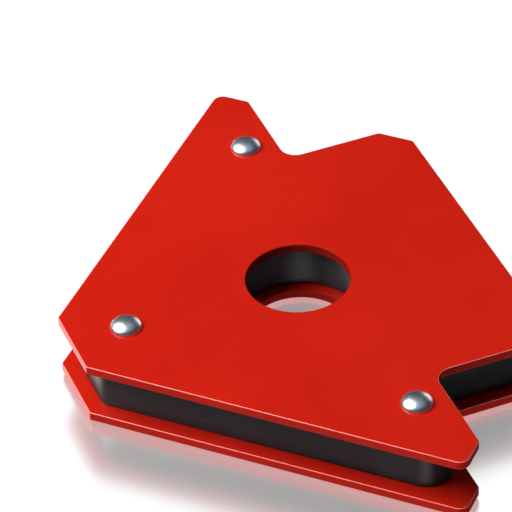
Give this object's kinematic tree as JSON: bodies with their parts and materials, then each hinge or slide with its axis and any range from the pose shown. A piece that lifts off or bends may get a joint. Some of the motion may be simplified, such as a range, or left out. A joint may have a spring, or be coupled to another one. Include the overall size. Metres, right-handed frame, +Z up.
{
  "type": "welding magnet holder",
  "caption": "Arrow-shaped magnetic welding holder: painted steel pole plates riveted over ferrite blocks, with edges at 45, 90 and 135 degrees and a round central hole.",
  "frame": {"origin": "on the surface that the holder rests on, under the centre of its bounding box; the hole's axis is at x = 4.5 mm", "axes": "+X from the arrow's blunt point to the end of its stem, +Y towards the left barb, +Z up through the plates to the rivet heads"},
  "size_m": [0.088, 0.1274, 0.0165],
  "materials": {
    "red_paint": "gloss red paint on steel plate",
    "black_band": "semi-gloss black plastic strip",
    "rivet_steel": "bright plated steel",
    "spacer_aluminium": "turned",
    "ferrite": "sintered strontium ferrite, matt charcoal"
  },
  "bodies": {
    "root": {"lower_plate": "red_paint", "upper_plate": "red_paint", "edge_band": "black_band", "hole_sleeve": "black_band", "rivet_apex": "rivet_steel", "rivet_left_barb": "rivet_steel", "rivet_right_barb": "rivet_steel", "spacer_apex": "spacer_aluminium", "spacer_left_barb": "spacer_aluminium", "spacer_right_barb": "spacer_aluminium", "magnet_left_leg_front": "ferrite", "magnet_left_leg_rear": "ferrite", "magnet_right_leg_front": "ferrite", "magnet_right_leg_rear": "ferrite", "magnet_stem_left": "ferrite", "magnet_stem_middle": "ferrite", "magnet_stem_right": "ferrite"}
  },
  "joints": []
}
